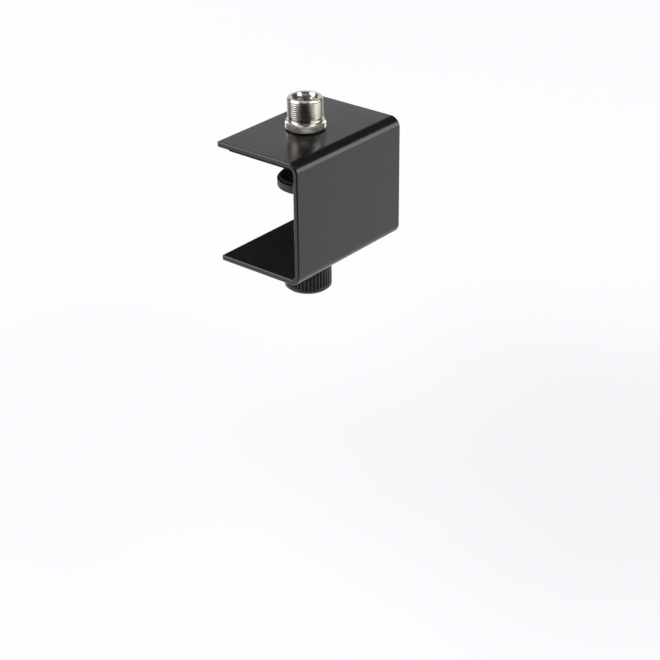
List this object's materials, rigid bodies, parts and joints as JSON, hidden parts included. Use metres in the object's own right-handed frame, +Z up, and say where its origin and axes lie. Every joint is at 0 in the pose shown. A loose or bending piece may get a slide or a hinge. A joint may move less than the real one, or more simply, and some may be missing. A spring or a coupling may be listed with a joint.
{
  "type": "desk clamp",
  "caption": "C-shaped sheet-steel desk-edge clamp with a threaded stud on top and a ribbed hand screw underneath that raises a padded foot.",
  "frame": {"origin": "on the common axis of the stud and the hand screw, in the plane of the desk top, which is the underside of the top pad", "axes": "+Z up along the stud, +Y into the desk, +X along the desk edge; the front plate faces -Y"},
  "size_m": [0.071, 0.045, 0.091],
  "materials": {
    "coated_steel": "black satin powder coat",
    "rubber": "matte black rubber",
    "washer_plastic": "black nylon",
    "nickel": "bright warm nickel plate",
    "zinc_steel": "zinc plate",
    "spring_steel": "phosphated spring steel",
    "knob_plastic": "black moulded plastic",
    "foot_plastic": "black glass-filled nylon"
  },
  "bodies": {
    "frame": {"bracket": "coated_steel", "top_pad": "rubber", "stud_washer": "washer_plastic", "thread_stud": "nickel", "stud_screw": "zinc_steel", "clinch_nut": "zinc_steel"},
    "foot": {"pressure_foot": "foot_plastic", "foot_pad": "rubber"},
    "hand_screw": {"clamp_screw": "zinc_steel", "knob": "knob_plastic", "knob_cap": "knob_plastic", "foot_clip": "spring_steel"}
  },
  "joints": [
    {"name": "clamp_travel", "type": "slide", "parent": "frame", "child": "foot", "axis": [0, 0, 1], "range_m": [-0.0201, 0.0051]},
    {"name": "screw_spin", "type": "hinge", "parent": "foot", "child": "hand_screw", "pos_m": [0, 0, -0.03], "axis": [0, 0, 1], "range_deg": [-7200, 1800]}
  ],
  "couplings": [
    {"joint": "clamp_travel", "follows": "screw_spin", "m_per_rad": 0.00015915}
  ]
}
